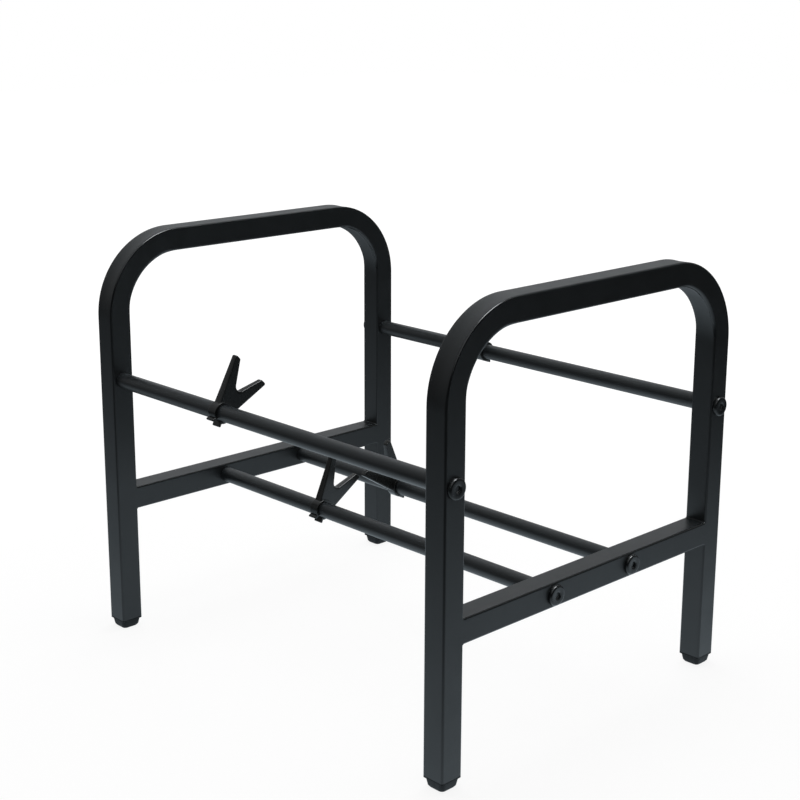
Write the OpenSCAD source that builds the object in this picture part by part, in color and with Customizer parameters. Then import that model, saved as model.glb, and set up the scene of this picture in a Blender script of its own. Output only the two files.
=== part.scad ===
// Record storage stand.
// Two end frames of bent square tube are joined by four round rods.  Square
// sleeves stand on one corner in the trough between the rods, and moulded
// Y-shaped clips grip the rods and slide along them to hold the row upright.
// Millimetres, +Z up, +X along the rods, -Y at the front.  The origin is on
// the floor, under the middle of the stand.

/* [End frames] */
// Length of the stand over the outer faces of the end frames
stand_length = 420; // [300:5:600]
// Width of an end frame from front to back
frame_width = 328; // [300:2:400]
// Height of an end frame above the floor
frame_height = 355; // [330:1:420]
// Outer size of the square tube
tube_size = 20; // [18:0.5:22]
// Wall thickness of the square tube
tube_wall = 1.2; // [0.8:0.1:1.6]
// Outside radius along the tube's four long corners
tube_corner_r = 1.6; // [1.2:0.1:2.4]
// Radius of the top bends, to the middle of the tube
bend_r = 62; // [40:1:80]
// Height of the middle of the crossbars above the floor
crossbar_height = 120; // [90:1:150]
// Size of the weld bead where a crossbar meets a leg
weld_size = 1.6; // [0.8:0.2:2.4]

/* [Rods and screws] */
// Outer diameter of the rods
rod_d = 13.5; // [12:0.5:14]
// Wall thickness of the rods
rod_wall = 1.3; // [1:0.1:1.6]
// Distance between the middles of the two lower rods
lower_rod_gap = 91; // [80:1:110]
// Length of the threaded insert in each rod end
insert_length = 15; // [12:1:20]
// Diameter of the screws' shank
screw_d = 8; // [6:0.5:8]
// Length of the screws under the head
screw_length = 32; // [28:1:34]
// Diameter of the screws' head
screw_head_d = 16.4; // [14:0.2:18]
// Height of the screws' head
screw_head_h = 3; // [2.4:0.2:4]
// Size of the hexagon socket across its flats
socket_size = 5; // [4:0.5:6]

/* [Feet] */
// Height of the plastic feet below the tube's end flange
foot_height = 7; // [5:0.5:12]
// Thickness of the flange that covers the end of the tube
foot_flange = 1.5; // [1:0.1:2.5]
// Length of the finned stem inside the tube
foot_stem = 14; // [10:1:20]

/* [Clips] */
// Outer diameter of the grip round the rod
grip_d = 18; // [17:0.5:20]
// Length of the grip along the rod
grip_length = 9; // [7:0.5:14]
// Radial clearance between the grip and the rod
grip_clearance = 0.05; // [0.02:0.01:0.1]
// Width of the slit that lets the grip spring
slit_width = 4.6; // [3:0.2:6]
// Thickness of the Y-shaped blade where it leaves the grip
blade_thickness = 7.4; // [5:0.2:8.6]
// Thickness of the blade at the tips of its arms
blade_tip = 4.8; // [3:0.2:5]
// Reach of the blade from the rod's axis to the tips of its arms
blade_reach = 43; // [38:0.5:46]
// Width of the blade over the tips of its arms
blade_width = 41; // [36:0.5:43]
// Distance from the rod's axis to the bottom of the V
v_depth = 22; // [16:0.5:26]
// Place of the upper front clip along its rod
upper_front_clip_x = -53; // [-150:0.5:150]
// Place of the upper back clip along its rod
upper_back_clip_x = -54.5; // [-150:0.5:150]
// Place of the lower front clip along its rod
lower_front_clip_x = -57; // [-150:0.5:150]
// Place of the lower back clip along its rod
lower_back_clip_x = -56.5; // [-150:0.5:150]
// Turn of the lower clips about their rods, towards the top
lower_clip_turn = 5; // [-5:0.5:10]

/* [Hidden] */

$fn = 64;
eps = 0.01;

LEFT = -1;
RIGHT = 1;
FRONT = -1;
BACK = 1;

powder_coat = "#2b2c2e";
black_gloss = "#1c1d1f";
black_plastic = "#202122";
zinc = "#b9bcc0";

// Places of the frames
frame_x = stand_length / 2 - tube_size / 2;
inner_face_x = frame_x - tube_size / 2;
outer_face_x = frame_x + tube_size / 2;
leg_y = frame_width / 2 - tube_size / 2;
leg_inner_y = leg_y - tube_size / 2;
leg_bottom_z = foot_height + foot_flange;
bend_y = leg_y - bend_r;
bend_z = frame_height - tube_size / 2 - bend_r;
inner_corner_r = max(tube_corner_r - tube_wall, 0.3);

// Places of the rods: both pairs lie on planes at 45 degrees, so that the
// edges of a square sleeve on its corner rest on all four rods
lower_rod_y = lower_rod_gap / 2;
lower_rod_z = crossbar_height;
upper_rod_y = leg_y;
upper_rod_z = lower_rod_z + upper_rod_y - lower_rod_y;
rod_length = 2 * inner_face_x;
rod_bore_r = rod_d / 2 - rod_wall;
rod_edge = 0.4;

// Fits of the fasteners
screw_hole_r = screw_d / 2 + 0.2;
thread_gap = 0.05;
head_round = 1.8;
socket_depth = 4;

// Proportions of the feet
pad_top = tube_size - 1.4;
pad_base = pad_top - 2;
pad_sole = pad_base - 1.8;
pad_corner_r = 3.4;
sole_edge = 1.5;
stem_size = tube_size - 2 * tube_wall - 2.6;
stem_wall = 1.8;
fin_size = tube_size - 2 * tube_wall - 0.1;
fin_thickness = 1.2;
fin_count = 3;

// Proportions of the clips
grip_r = grip_d / 2;
grip_bore_r = rod_d / 2 + grip_clearance;
lip_root = grip_bore_r + 0.8;
lip_thickness = 2;
lip_length = 2.6;
lip_flare = 20;
root_half_width = 8.1;
root_reach = 3.9;
tip_round = 1.4;
v_half_angle = 30;
v_round = 5;
blade_taper = (blade_thickness - blade_tip) / 2 / (blade_reach - grip_r);
root_to_tip = [blade_reach - tip_round - root_reach, blade_width / 2 - tip_round - root_half_width];
edge_angle = atan2(root_to_tip.y, root_to_tip.x) + asin(tip_round / norm(root_to_tip));
arc_steps = 16;

// A square with true round corners
module rounded_square(side, r) {
    square([side - 2 * r, side], center = true);
    square([side, side - 2 * r], center = true);
    for (x = [-1, 1], y = [-1, 1])
        translate([x * (side / 2 - r), y * (side / 2 - r)])
            circle(r, $fn = 32);
}

module tube_section() {
    difference() {
        rounded_square(tube_size, tube_corner_r);
        rounded_square(tube_size - 2 * tube_wall, inner_corner_r);
    }
}

// A straight square tube from the XY plane upwards
module square_tube(length) {
    linear_extrude(length)
        tube_section();
}

// Clearance holes through both walls of a frame tube, along X
module screw_hole(y, z) {
    translate([-tube_size, y, z])
        rotate([0, 90, 0])
            cylinder(h = 2 * tube_size, r = screw_hole_r);
}

// One leg and the bend above it, at +Y
module half_arch() {
    translate([0, leg_y, leg_bottom_z])
        square_tube(bend_z - leg_bottom_z);
    translate([0, bend_y, bend_z])
        rotate([90, 0, 90])
            rotate_extrude(angle = 90, $fn = 96)
                translate([bend_r, 0])
                    tube_section();
}

// A hoop: one square tube bent twice, drilled for the upper rods' screws
module hoop(side) {
    color(powder_coat)
        translate([side * frame_x, 0, 0])
            difference() {
                union() {
                    half_arch();
                    mirror([0, 1, 0])
                        half_arch();
                    translate([0, bend_y, frame_height - tube_size / 2])
                        rotate([90, 0, 0])
                            square_tube(2 * bend_y);
                }
                for (y = [-upper_rod_y, upper_rod_y])
                    screw_hole(y, upper_rod_z);
            }
}

// Weld metal at one end of a crossbar: it fills the groove that the leg's
// round corners leave, ground flush, with a small bead above and below
module end_weld() {
    difference() {
        translate([-tube_size / 2, -eps, -tube_size / 2])
            cube([tube_size, tube_corner_r + eps, tube_size]);
        translate([0, tube_size / 2, -tube_size])
            linear_extrude(2 * tube_size)
                rounded_square(tube_size, tube_corner_r);
    }
    for (z = [-1, 1])
        scale([1, 1, z])
            translate([-tube_size / 2 + tube_corner_r, 0, tube_size / 2])
                rotate([90, 0, 90])
                    linear_extrude(tube_size - 2 * tube_corner_r)
                        difference() {
                            translate([-weld_size, -eps])
                                square([weld_size, weld_size + eps]);
                            translate([-weld_size, weld_size])
                                circle(weld_size, $fn = 48);
                        }
}

// A crossbar welded between the legs, drilled for the lower rods' screws
module crossbar(side) {
    color(powder_coat)
        translate([side * frame_x, 0, crossbar_height])
            difference() {
                union() {
                    translate([0, leg_inner_y, 0])
                        rotate([90, 0, 0])
                            square_tube(2 * leg_inner_y);
                    for (y = [-1, 1])
                        scale([1, y, 1])
                            translate([0, leg_inner_y, 0])
                                end_weld();
                }
                for (y = [-lower_rod_y, lower_rod_y])
                    screw_hole(y, 0);
            }
}

// A solid cylinder along X with lightly broken end edges
module edged_bar(length, r, edge) {
    rotate([0, 90, 0])
        union() {
            cylinder(h = length - 2 * edge, r = r, center = true);
            for (end = [0, 180])
                rotate([end, 0, 0])
                    translate([0, 0, length / 2 - edge])
                        cylinder(h = edge, r1 = r, r2 = r - edge);
        }
}

// A tubular rod between the end frames
module rod(y, z) {
    color(powder_coat)
        translate([0, y, z])
            difference() {
                edged_bar(rod_length, rod_d / 2, rod_edge);
                rotate([0, 90, 0])
                    cylinder(h = rod_length + 2, r = rod_bore_r, center = true);
            }
}

// The two threaded inserts fixed in the ends of one rod
module rod_inserts(y, z) {
    color(zinc)
        for (side = [LEFT, RIGHT])
            translate([side * (inner_face_x - insert_length / 2), y, z])
                rotate([0, 90, 0])
                    difference() {
                        cylinder(h = insert_length, r = rod_bore_r, center = true);
                        cylinder(h = insert_length + 2, r = screw_d / 2 + thread_gap, center = true);
                    }
}

// A low-headed socket screw: shank down from the XY plane, head above it
module screw() {
    difference() {
        union() {
            translate([0, 0, -screw_length])
                cylinder(h = screw_length + eps, r = screw_d / 2);
            rotate_extrude() {
                square([screw_head_d / 2 - head_round, screw_head_h]);
                square([screw_head_d / 2, screw_head_h - head_round]);
                translate([screw_head_d / 2 - head_round, screw_head_h - head_round])
                    intersection() {
                        circle(head_round, $fn = 48);
                        square(head_round);
                    }
            }
        }
        translate([0, 0, screw_head_h - socket_depth])
            cylinder(h = socket_depth + 1, r = socket_size / sqrt(3), $fn = 6);
    }
}

// The four screws that hold the rods to one end frame
module frame_screws(side) {
    color(black_gloss)
        for (y = [FRONT, BACK]) {
            translate([side * outer_face_x, y * upper_rod_y, upper_rod_z])
                rotate([0, side * 90, 0])
                    screw();
            translate([side * outer_face_x, y * lower_rod_y, lower_rod_z])
                rotate([0, side * 90, 0])
                    screw();
        }
}

// A flat slice of the foot's pad
module pad_slice(z, side) {
    translate([0, 0, z])
        linear_extrude(0.1)
            rounded_square(side, pad_corner_r, $fn = 24);
}

// A plastic foot: tapered pad, flange over the tube's end, finned stem inside
module foot(side, y) {
    color(black_plastic)
        translate([side * frame_x, y * leg_y, 0]) {
            hull() {
                pad_slice(0, pad_sole);
                pad_slice(sole_edge, pad_base);
                pad_slice(foot_height - 0.1, pad_top);
            }
            translate([0, 0, foot_height - eps])
                linear_extrude(foot_flange + eps)
                    rounded_square(tube_size, tube_corner_r);
            translate([0, 0, leg_bottom_z - eps])
                difference() {
                    linear_extrude(foot_stem)
                        rounded_square(stem_size, 1);
                    translate([0, 0, stem_wall])
                        linear_extrude(foot_stem)
                            rounded_square(stem_size - 2 * stem_wall, 0.5);
                }
            for (i = [1:fin_count])
                translate([0, 0, leg_bottom_z + i * foot_stem / fin_count - fin_thickness])
                    linear_extrude(fin_thickness)
                        difference() {
                            rounded_square(fin_size, 0.5);
                            square(stem_size - stem_wall, center = true);
                        }
        }
}

// Outline of the sprung grip, open on the side away from the blade
module grip_outline() {
    difference() {
        circle(grip_r);
        translate([-grip_d, -slit_width / 2])
            square([grip_d, slit_width]);
    }
    for (s = [-1, 1])
        scale([1, s])
            translate([-lip_root, slit_width / 2 + lip_thickness / 2])
                rotate(180 - lip_flare) {
                    translate([0, -lip_thickness / 2])
                        square([lip_length, lip_thickness]);
                    translate([lip_length, 0])
                        circle(lip_thickness / 2, $fn = 32);
                }
}

// Points of an arc round a centre, from one angle to another
function arc(centre, r, from, to) = [
    for (i = [0:arc_steps])
        let (angle = from + (to - from) * i / arc_steps)
            centre + r * [cos(angle), sin(angle)]
];

// The V between the arms, round at the bottom
module v_outline() {
    centre = v_depth + v_round;
    far = blade_reach + 10;
    far_y = v_round / cos(v_half_angle) + (far - centre) * tan(v_half_angle);
    polygon(concat(
        arc([centre, 0], v_round, 90 + v_half_angle, 270 - v_half_angle),
        [[far, -far_y], [far, far_y]]
    ));
}

// Outline of the blade before the V is cut: straight edges from the root to
// rounded tips
module blade_outline() {
    tip = [blade_reach - tip_round, blade_width / 2 - tip_round];
    polygon(concat(
        [[root_reach, -root_half_width]],
        arc([tip.x, -tip.y], tip_round, -90 - edge_angle, 0),
        arc(tip, tip_round, 0, 90 + edge_angle),
        [[root_reach, root_half_width]]
    ));
}

// The blade from the side: a wedge that thins from the grip to the tips
module wedge_outline() {
    half_at_rod = blade_thickness / 2 + blade_taper * grip_r;
    far = blade_reach + 10;
    half_far = half_at_rod - blade_taper * far;
    polygon([[0, -half_at_rod], [far, -half_far], [far, half_far], [0, half_at_rod]]);
}

// The Y-shaped blade: its outline from the front, within the wedge
module blade() {
    intersection() {
        linear_extrude(grip_length, center = true)
            difference() {
                blade_outline();
                v_outline();
            }
        rotate([90, 0, 0])
            linear_extrude(2 * blade_width, center = true)
                wedge_outline();
    }
}

// A clip with its rod along Z and its V towards +X
module clip_body() {
    difference() {
        union() {
            linear_extrude(grip_length, center = true)
                grip_outline();
            blade();
        }
        cylinder(h = 2 * grip_length, r = grip_bore_r, center = true);
    }
}

// A clip on its rod, with the V towards the middle of the trough
module clip(side, x, y, z, turn) {
    color(black_plastic)
        scale([1, -side, 1])
            translate([x, -y, z])
                rotate([45 + turn, 0, 0])
                    rotate([90, 0, 90])
                        clip_body();
}

module left_hoop() { hoop(LEFT); }
module right_hoop() { hoop(RIGHT); }
module left_crossbar() { crossbar(LEFT); }
module right_crossbar() { crossbar(RIGHT); }

module upper_front_rod() { rod(-upper_rod_y, upper_rod_z); }
module upper_back_rod() { rod(upper_rod_y, upper_rod_z); }
module lower_front_rod() { rod(-lower_rod_y, lower_rod_z); }
module lower_back_rod() { rod(lower_rod_y, lower_rod_z); }

module upper_front_rod_inserts() { rod_inserts(-upper_rod_y, upper_rod_z); }
module upper_back_rod_inserts() { rod_inserts(upper_rod_y, upper_rod_z); }
module lower_front_rod_inserts() { rod_inserts(-lower_rod_y, lower_rod_z); }
module lower_back_rod_inserts() { rod_inserts(lower_rod_y, lower_rod_z); }

module left_frame_screws() { frame_screws(LEFT); }
module right_frame_screws() { frame_screws(RIGHT); }

module left_front_foot() { foot(LEFT, FRONT); }
module left_back_foot() { foot(LEFT, BACK); }
module right_front_foot() { foot(RIGHT, FRONT); }
module right_back_foot() { foot(RIGHT, BACK); }

module upper_front_clip() { clip(FRONT, upper_front_clip_x, upper_rod_y, upper_rod_z, 0); }
module upper_back_clip() { clip(BACK, upper_back_clip_x, upper_rod_y, upper_rod_z, 0); }
module lower_front_clip() {
    clip(FRONT, lower_front_clip_x, lower_rod_y, lower_rod_z, lower_clip_turn);
}
module lower_back_clip() {
    clip(BACK, lower_back_clip_x, lower_rod_y, lower_rod_z, lower_clip_turn);
}

left_hoop();
right_hoop();
left_crossbar();
right_crossbar();
upper_front_rod();
upper_back_rod();
lower_front_rod();
lower_back_rod();
upper_front_rod_inserts();
upper_back_rod_inserts();
lower_front_rod_inserts();
lower_back_rod_inserts();
left_frame_screws();
right_frame_screws();
left_front_foot();
left_back_foot();
right_front_foot();
right_back_foot();
upper_front_clip();
upper_back_clip();
lower_front_clip();
lower_back_clip();
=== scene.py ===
"""Record storage stand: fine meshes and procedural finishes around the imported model.

Everything is in metres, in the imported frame: +Z up, +X along the rods, -Y at the front.
"""

import math

import bmesh
import bpy
import numpy as np
from bpy.props import FloatProperty, FloatVectorProperty, PointerProperty
from bpy.types import Operator, Panel, PropertyGroup
from mathutils import Matrix, Vector


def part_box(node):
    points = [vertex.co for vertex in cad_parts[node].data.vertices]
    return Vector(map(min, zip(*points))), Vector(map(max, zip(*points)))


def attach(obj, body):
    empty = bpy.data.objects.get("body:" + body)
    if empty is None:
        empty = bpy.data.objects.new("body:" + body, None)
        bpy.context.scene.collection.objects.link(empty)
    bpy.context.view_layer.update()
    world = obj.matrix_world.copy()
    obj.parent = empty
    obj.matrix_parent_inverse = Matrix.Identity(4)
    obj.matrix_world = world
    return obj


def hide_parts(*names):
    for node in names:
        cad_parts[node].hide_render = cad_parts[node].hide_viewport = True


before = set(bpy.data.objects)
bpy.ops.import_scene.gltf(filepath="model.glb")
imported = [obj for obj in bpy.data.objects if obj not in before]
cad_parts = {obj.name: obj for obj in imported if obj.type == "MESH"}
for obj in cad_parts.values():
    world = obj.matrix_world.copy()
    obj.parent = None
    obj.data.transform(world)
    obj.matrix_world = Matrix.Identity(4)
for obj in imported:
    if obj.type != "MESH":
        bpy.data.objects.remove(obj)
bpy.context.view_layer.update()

bl_info = {
    "name": "Record storage stand",
    "version": (1, 0, 0),
    "blender": (4, 5, 0),
    "location": "3D View > Sidebar > Record Stand",
    "description": "Builds the pieces of a record storage stand and the stage around it",
    "category": "Object",
}

MM = 0.001

# The two end frames with their signs along X, and the four rods
SIDES = {"left": -1, "right": 1}
ROWS = ("upper_front", "upper_back", "lower_front", "lower_back")


def box_size(node):
    """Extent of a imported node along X, Y and Z."""
    low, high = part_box(node)
    return high - low


def box_middle(node):
    """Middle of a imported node's box."""
    low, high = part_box(node)
    return (low + high) / 2


# Places of the square tube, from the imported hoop
TUBE = box_size("right_hoop").x
HALF_TUBE = TUBE / 2
FRAME_X = box_middle("right_hoop").x
OUTER_FACE_X = FRAME_X + HALF_TUBE
LEG_Y = box_size("right_hoop").y / 2 - HALF_TUBE
LEG_INNER_Y = LEG_Y - HALF_TUBE
LEG_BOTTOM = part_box("right_hoop")[0].z
HOOP_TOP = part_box("right_hoop")[1].z
BAR_Z = box_middle("right_crossbar").z

# How finely each stretch of a shape is divided
CORNER_STEPS = 6
FLAT_STEPS = 5
LEG_STEPS = 7
BEND_STEPS = 44
TOP_STEPS = 5
BAR_STEPS = 5
FILLET_STEPS = 7
ROD_STEPS = 96
ROD_EDGE_STEPS = 4
HEAD_STEPS = 96
HEAD_ROUND_STEPS = 8
EDGE_STEPS = 5
GRIP_STEPS = 60
LIP_END_STEPS = 7
ARC_STEPS = 12
HUB_STEPS = 4
ARM_STEPS = 8
FACE_STEPS = 9

# Faces that meet at more than this angle keep a sharp edge, and points closer than this are one
SHARP_ANGLE = math.radians(38)
MERGE_DISTANCE = 0.001 * MM

# A flat has a point this far from its round corners, or this share of its half length if less
SUPPORT = 0.35 * MM
SUPPORT_SHARE = 0.6

# A hoop has a station this far outside its bends, and takes their shape within these degrees
BEND_MARGIN = 2 * MM
BEND_EASE = 18

# Degrees that the first screw's socket is turned, and each next one more
FIRST_TURN = 23
NEXT_TURN = 37


# Sizes and finishes that a user would change


def length(name, description, millimetres):
    """A size, given here in millimetres and shown in the scene's own unit."""
    return FloatProperty(
        name=name, description=description, default=millimetres * MM, min=0.0, precision=4,
        subtype="DISTANCE", unit="LENGTH",
    )


def angle(name, description, degrees):
    """An angle, given here in degrees."""
    return FloatProperty(
        name=name, description=description, default=math.radians(degrees), subtype="ANGLE",
    )


def colour(name, description, default):
    """A linear base colour."""
    return FloatVectorProperty(
        name=name, description=description, default=default, min=0.0, max=1.0, size=3,
        subtype="COLOR",
    )


def factor(name, description, default):
    """A plain number from 0 to 1."""
    return FloatProperty(
        name=name, description=description, default=default, min=0.0, max=1.0, subtype="FACTOR",
    )


class TubeSizes(PropertyGroup):
    """Sizes of the bent and welded square tube, and of the rods."""

    bend_radius: length("Bend radius", "Radius of the top bends, to the tube's middle", 62)
    corner_radius: length("Corner radius", "Radius along the tube's four long corners", 1.6)
    inside_corner: length("Inside corner", "Corner radius in a bend, where the wall gathers", 3.4)
    outside_corner: length("Outside corner", "Corner radius outside a bend, drawn tight", 1.3)
    wall_dish: length("Wall dish", "Depth to which a bend draws its two walls in", 0.45)
    straight_rub: factor("Straight rub", "Rub of a hoop's straight edges, against its bends", 0.4)
    weld_bead: length("Weld bead", "Size of the fillet where a crossbar meets a leg", 0.7)
    rod_wall: length("Rod wall", "Wall thickness of the rods", 1.3)
    rod_edge: length("Rod edge", "Radius of the rods' end edges", 0.4)


class ScrewSizes(PropertyGroup):
    """Sizes of the low-headed socket screws."""

    head_diameter: length("Head diameter", "Outer diameter of the head", 16.4)
    head_height: length("Head height", "Height of the head above the frame", 3)
    head_round: length("Head rounding", "Radius of the head's upper edge", 1.8)
    shank_diameter: length("Shank diameter", "Diameter of the threaded shank", 8)
    shank_length: length("Shank length", "Length of the shank under the head", 32)
    socket_size: length("Socket size", "Hexagon socket across its flats", 5)
    socket_mouth: length("Socket mouth", "Width of the bevelled mouth of the socket", 6.8)
    socket_depth: length("Socket depth", "Depth of the hexagon socket", 1.7)


class FootSizes(PropertyGroup):
    """Sizes of the plastic feet in the ends of the legs."""

    sole_width: length("Sole width", "Width of the sole that meets the floor", 14.8)
    base_width: length("Base width", "Width of the pad just above the sole's bevel", 16.6)
    top_width: length("Top width", "Width of the pad under the flange", 18.6)
    pad_corner: length("Pad corner", "Corner radius of the pad", 3.4)
    sole_edge: length("Sole edge", "Height of the bevel round the sole", 1.5)
    flange: length("Flange", "Thickness of the flange that covers the tube's end", 1.5)
    stem_width: length("Stem width", "Width of the stem inside the leg", 15)
    stem_wall: length("Stem wall", "Wall thickness of the stem", 1.8)
    fin_width: length("Fin width", "Width of the stem's gripping fins", 17.5)


class ClipSizes(PropertyGroup):
    """Sizes of the moulded clips that slide along the rods."""

    grip_diameter: length("Grip diameter", "Outer diameter of the sprung grip", 18)
    grip_length: length("Grip length", "Length of the grip along the rod", 9)
    grip_clearance: length("Grip clearance", "Radial gap between the grip and the rod", 0.05)
    slit_width: length("Slit width", "Width of the slit that lets the grip spring", 4.6)
    lip_length: length("Lip length", "Length of the flared lips beside the slit", 2.57)
    lip_thickness: length("Lip thickness", "Thickness of the lips", 1.97)
    lip_flare: angle("Lip flare", "Angle at which the lips open outwards", 20)
    blade_thickness: length("Blade thickness", "Thickness of the blade at the grip", 7.4)
    blade_tip: length("Blade tip", "Thickness of the blade at the tips of its arms", 4.8)
    blade_reach: length("Blade reach", "Reach from the rod's axis to the tips of the arms", 43)
    blade_width: length("Blade width", "Width over the tips of the arms", 41)
    root_width: length("Root width", "Width of the blade where it leaves the grip", 16.2)
    root_reach: length("Root reach", "Distance from the rod's axis to the blade's root", 3.9)
    v_depth: length("V depth", "Distance from the rod's axis to the bottom of the V", 22)
    v_round: length("V rounding", "Radius at the bottom of the V", 5)
    v_half_angle: angle("V half angle", "Angle of the V's sides to its middle line", 30)
    tip_round: length("Tip rounding", "Outer corner radius of the arms' tips", 1.4)
    edge_round: length("Edge rounding", "Radius of the grip's moulded edges", 0.4)
    blade_round: length("Blade rounding", "Radius of the blade's moulded edges", 0.7)
    lower_turn: angle("Lower turn", "Turn of the lower clips about their rods", 5)


class Finishes(PropertyGroup):
    """Colours and gloss of the stand's finishes."""

    coat_colour: colour("Frame coat", "Powder coat on the frames", (0.0066, 0.0084, 0.0092))
    # The rods' coat is the frames' black powder coat with painted light: its colour is lighter to
    # stand in for the light the rods catch from the floor.
    rod_colour_painted_lighter: colour("Rod coat", "Powder coat on the rods", (0.0110, 0.0135, 0.0150))
    coat_roughness: factor("Coat roughness", "Roughness of the powder coat", 0.42)
    edge_polish: factor("Edge polish", "How much smoother the coat is on the bends' corners", 0.27)
    screw_colour: colour("Screw plate", "Black plate on the screws", (0.0075, 0.0090, 0.0098))
    screw_roughness: factor("Screw roughness", "Roughness of the plated screws", 0.19)
    clip_colour: colour("Clip plastic", "Plastic of the moulded clips", (0.0060, 0.0066, 0.0062))
    clip_roughness: factor("Clip roughness", "Roughness of the moulded clips", 0.22)
    foot_colour: colour("Foot plastic", "Plastic of the moulded feet", (0.0060, 0.0074, 0.0080))
    foot_roughness: factor("Foot roughness", "Roughness of the moulded feet", 0.55)
    zinc_colour: colour("Zinc plate", "Plate on the threaded inserts", (0.62, 0.63, 0.64))


# Surfaces worked out as arrays


def smooth_step(x):
    """Eased 0 to 1: three x squared less two x cubed, with x held between 0 and 1."""
    x = np.clip(x, 0.0, 1.0)
    return x * x * (3 - 2 * x)


def quarter_fall(distance, radius):
    """Drop of a quarter-round edge at a distance from it: its radius less its circle's height."""
    short = radius - np.clip(distance, 0.0, radius)
    return radius - np.sqrt(np.maximum(radius**2 - short**2, 0.0))


def edge_places(radius, steps=EDGE_STEPS):
    """Distances from an edge across its quarter round: one less the cosine of equal angles."""
    return radius * (1 - np.cos(np.linspace(0, math.pi / 2, steps + 1)))


def joined(points, masks, loop=False):
    """Vertices, quads and edge mask of a grid of points [station, place round].

    Neighbouring points are joined round each station and from one station to the next.  A loop
    joins the last station to the first.  Otherwise each end is closed by one more station, in
    which every point is the middle of the end ring.
    """
    if not loop:
        ends = points[[0, -1]].mean(axis=1, keepdims=True).repeat(points.shape[1], axis=1)
        points = np.concatenate([ends[:1], points, ends[1:]])
        masks = np.concatenate([masks[:1] * 0, masks, masks[-1:] * 0])
    stations, around = points.shape[:2]
    first = np.arange(stations if loop else stations - 1)[:, None]
    second = (first + 1) % stations
    place = np.arange(around)[None, :]
    beside = (place + 1) % around
    corners = ((first, place), (first, beside), (second, beside), (second, place))
    quads = np.stack([station * around + spot for station, spot in corners], axis=-1)
    return points.reshape(-1, 3), quads.reshape(-1, 4), masks.reshape(-1)


def square_section(half_p, half_q, radii):
    """Round-cornered rectangles, one for each station, as p, q and edge mask [station, place].

    A corner is a quarter circle about a centre that lies its radius inside both sides.  A point a
    little before and after it, and equal steps between corners, keep the flats flat.  That little
    is never more than a share of the flat's own half length, so a thin section stays whole.
    radii holds one radius a station, or four: anticlockwise from the corner at +p, +q.
    """
    radii = np.broadcast_to(radii.T, (4, len(radii))).T
    turn = np.linspace(0, math.pi / 2, CORNER_STEPS + 1)
    cosine = np.r_[1, np.cos(turn), 0]
    sine = np.r_[0, np.sin(turn), 1]
    mask = np.r_[0, np.sin(2 * turn), 0]
    before = np.r_[1, np.zeros(len(turn) + 1)]
    after = before[::-1]
    half_p = np.broadcast_to(half_p, len(radii))[:, None]
    half_q = np.broadcast_to(half_q, len(radii))[:, None]
    corners = []
    for index, (sign_p, sign_q) in enumerate([(1, 1), (-1, 1), (-1, -1), (1, -1)]):
        radius = radii[:, index, None]
        flat_p, flat_q = half_p - radius, half_q - radius
        step_p = np.minimum(SUPPORT, SUPPORT_SHARE * flat_p)
        step_q = np.minimum(SUPPORT, SUPPORT_SHARE * flat_q)
        corner = np.stack([
            sign_p * (flat_p + radius * cosine - after * step_p),
            sign_q * (flat_q + radius * sine - before * step_q),
            np.broadcast_to(mask, (len(radii), len(mask))),
        ])
        corners.append(corner[:, :, ::-1] if index % 2 else corner)
    share = np.linspace(0, 1, FLAT_STEPS + 2)[1:-1]
    ring = []
    for corner, following in zip(corners, corners[1:] + corners[:1]):
        ring += [corner, corner[:, :, -1:] * (1 - share) + following[:, :, :1] * share]
    return np.concatenate(ring, axis=2)


def moulded_bar(path, normals, half_thickness, half_width, radii, place):
    """Closed bar along a path in a clip's own plane.

    Its section is a round-cornered rectangle, half_thickness to both sides of the path, along the
    normals, and half_width to both sides of the clip's middle.
    """
    p, q, mask = square_section(half_thickness, half_width, radii)
    flat = path[:, None, :] + normals[:, None, :] * p[..., None]
    return joined(place(flat[..., 0], flat[..., 1], q), mask)


def placed(name, data):
    """A new object in the scene."""
    made = bpy.data.objects.new(name, data)
    bpy.context.scene.collection.objects.link(made)
    return made


def make_piece(name, shells, material, body, nodes):
    """Show one piece of closed shells: merged, faces outwards, smooth but for sharp edges."""
    counts = np.cumsum([0] + [len(points) for points, _, _ in shells])
    points = np.concatenate([shell[0] for shell in shells])
    quads = np.concatenate([shell[1] + start for shell, start in zip(shells, counts)])
    masks = np.concatenate([shell[2] for shell in shells])
    mesh = bpy.data.meshes.new(name)
    mesh.from_pydata(points, [], quads, shade_flat=False)
    edge = mesh.attributes.new("edge", "FLOAT", "POINT")
    edge.data.foreach_set("value", masks.astype(np.float32))
    merged = bmesh.new()
    merged.from_mesh(mesh)
    bmesh.ops.remove_doubles(merged, verts=merged.verts, dist=MERGE_DISTANCE)
    bmesh.ops.recalc_face_normals(merged, faces=merged.faces)
    merged.to_mesh(mesh)
    merged.free()
    mesh.set_sharp_from_angle(angle=SHARP_ANGLE)
    mesh.materials.append(material)
    piece = placed(name, mesh)
    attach(piece, body)
    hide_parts(*nodes)


# Shapes of the pieces


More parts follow.
